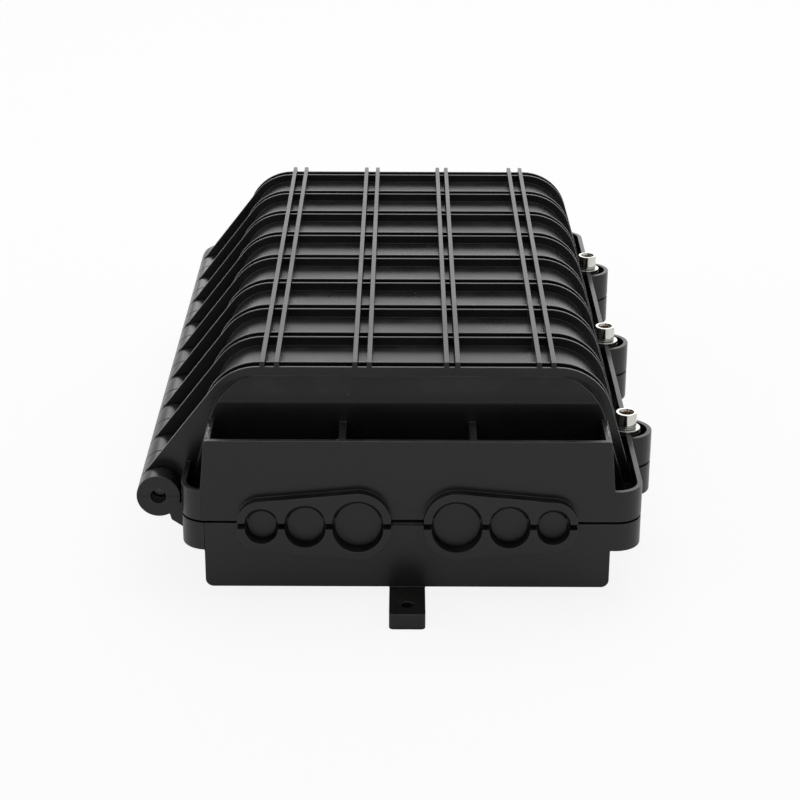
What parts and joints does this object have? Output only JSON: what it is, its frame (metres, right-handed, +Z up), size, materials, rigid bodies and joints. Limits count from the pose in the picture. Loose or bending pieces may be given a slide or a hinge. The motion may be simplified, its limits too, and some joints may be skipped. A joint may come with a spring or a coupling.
{
  "type": "horizontal_splice_closure",
  "caption": "Horizontal fibre splice closure: ribbed black clamshell with a full-length side hinge, clamp bolts and plugged cable ports at both ends.",
  "frame": {"origin": "on the ground, midway between the two lug holes", "axes": "+Z up, +Y along the shell away from the end shown in front, +X towards the clamp bolts; the hinge is on the -X side"},
  "size_m": [0.2401, 0.4268, 0.1043],
  "materials": {
    "moulded_shell": "semi-gloss black moulded plastic with fine surface dust",
    "plug": "semi-gloss black moulded plastic",
    "seal_rubber": "dull black rubber",
    "pin_steel": "plain drawn steel",
    "bolt_chrome": "bright nickel plate",
    "washer_steel": "bright zinc plate",
    "tray_plastic": "satin light grey moulded plastic",
    "lid_clear": "clear polycarbonate",
    "thumb_nut": "matt black nylon",
    "clamp_brass": "plain turned brass",
    "zinc_steel": "bright zinc-plated steel",
    "bracket_metal": "brushed stainless sheet"
  },
  "bodies": {
    "base": {"base_shell": "moulded_shell", "hinge_pin": "pin_steel", "seal_hinge_side": "seal_rubber", "seal_bolt_side": "seal_rubber", "seal_front": "seal_rubber", "seal_rear": "seal_rubber", "plug_front_large_left": "plug", "plug_front_medium_left": "plug", "plug_front_small_left": "plug", "plug_front_large_right": "plug", "plug_front_medium_right": "plug", "plug_front_small_right": "plug", "plug_rear_large_left": "plug", "plug_rear_medium_left": "plug", "plug_rear_small_left": "plug", "plug_rear_large_right": "plug", "plug_rear_medium_right": "plug", "plug_rear_small_right": "plug", "nut_front": "washer_steel", "nut_middle": "washer_steel", "nut_rear": "washer_steel", "tray_bracket": "bracket_metal", "bracket_screws": "zinc_steel", "tray_stud_front": "zinc_steel", "tray_stud_rear": "zinc_steel", "splice_tray_1": "tray_plastic", "splice_tray_2": "tray_plastic", "splice_tray_3": "tray_plastic", "splice_tray_4": "tray_plastic", "tray_lid": "lid_clear", "tray_nut_front": "thumb_nut", "tray_nut_rear": "thumb_nut", "anchor_bar_front": "bracket_metal", "anchor_bar_rear": "bracket_metal", "anchor_screws_front": "zinc_steel", "anchor_screws_rear": "zinc_steel", "strength_clamps_front": "clamp_brass", "strength_clamps_rear": "clamp_brass"},
    "cover": {"cover_shell": "moulded_shell", "spring_washer_front": "washer_steel", "spring_washer_middle": "washer_steel", "spring_washer_rear": "washer_steel", "washer_front": "washer_steel", "washer_middle": "washer_steel", "washer_rear": "washer_steel"},
    "bolt_front": {"bolt_front": "bolt_chrome"},
    "bolt_middle": {"bolt_middle": "bolt_chrome"},
    "bolt_rear": {"bolt_rear": "bolt_chrome"}
  },
  "joints": [
    {"name": "cover_hinge", "type": "hinge", "parent": "base", "child": "cover", "pos_m": [-0.1138, 0, 0.0424], "axis": [0, -1, 0], "range_deg": [0, 120]},
    {"name": "bolt_front_screw", "type": "slide", "parent": "cover", "child": "bolt_front", "axis": [0, 0, 1], "range_m": [0, 0.012]},
    {"name": "bolt_middle_screw", "type": "slide", "parent": "cover", "child": "bolt_middle", "axis": [0, 0, 1], "range_m": [0, 0.012]},
    {"name": "bolt_rear_screw", "type": "slide", "parent": "cover", "child": "bolt_rear", "axis": [0, 0, 1], "range_m": [0, 0.012]}
  ]
}
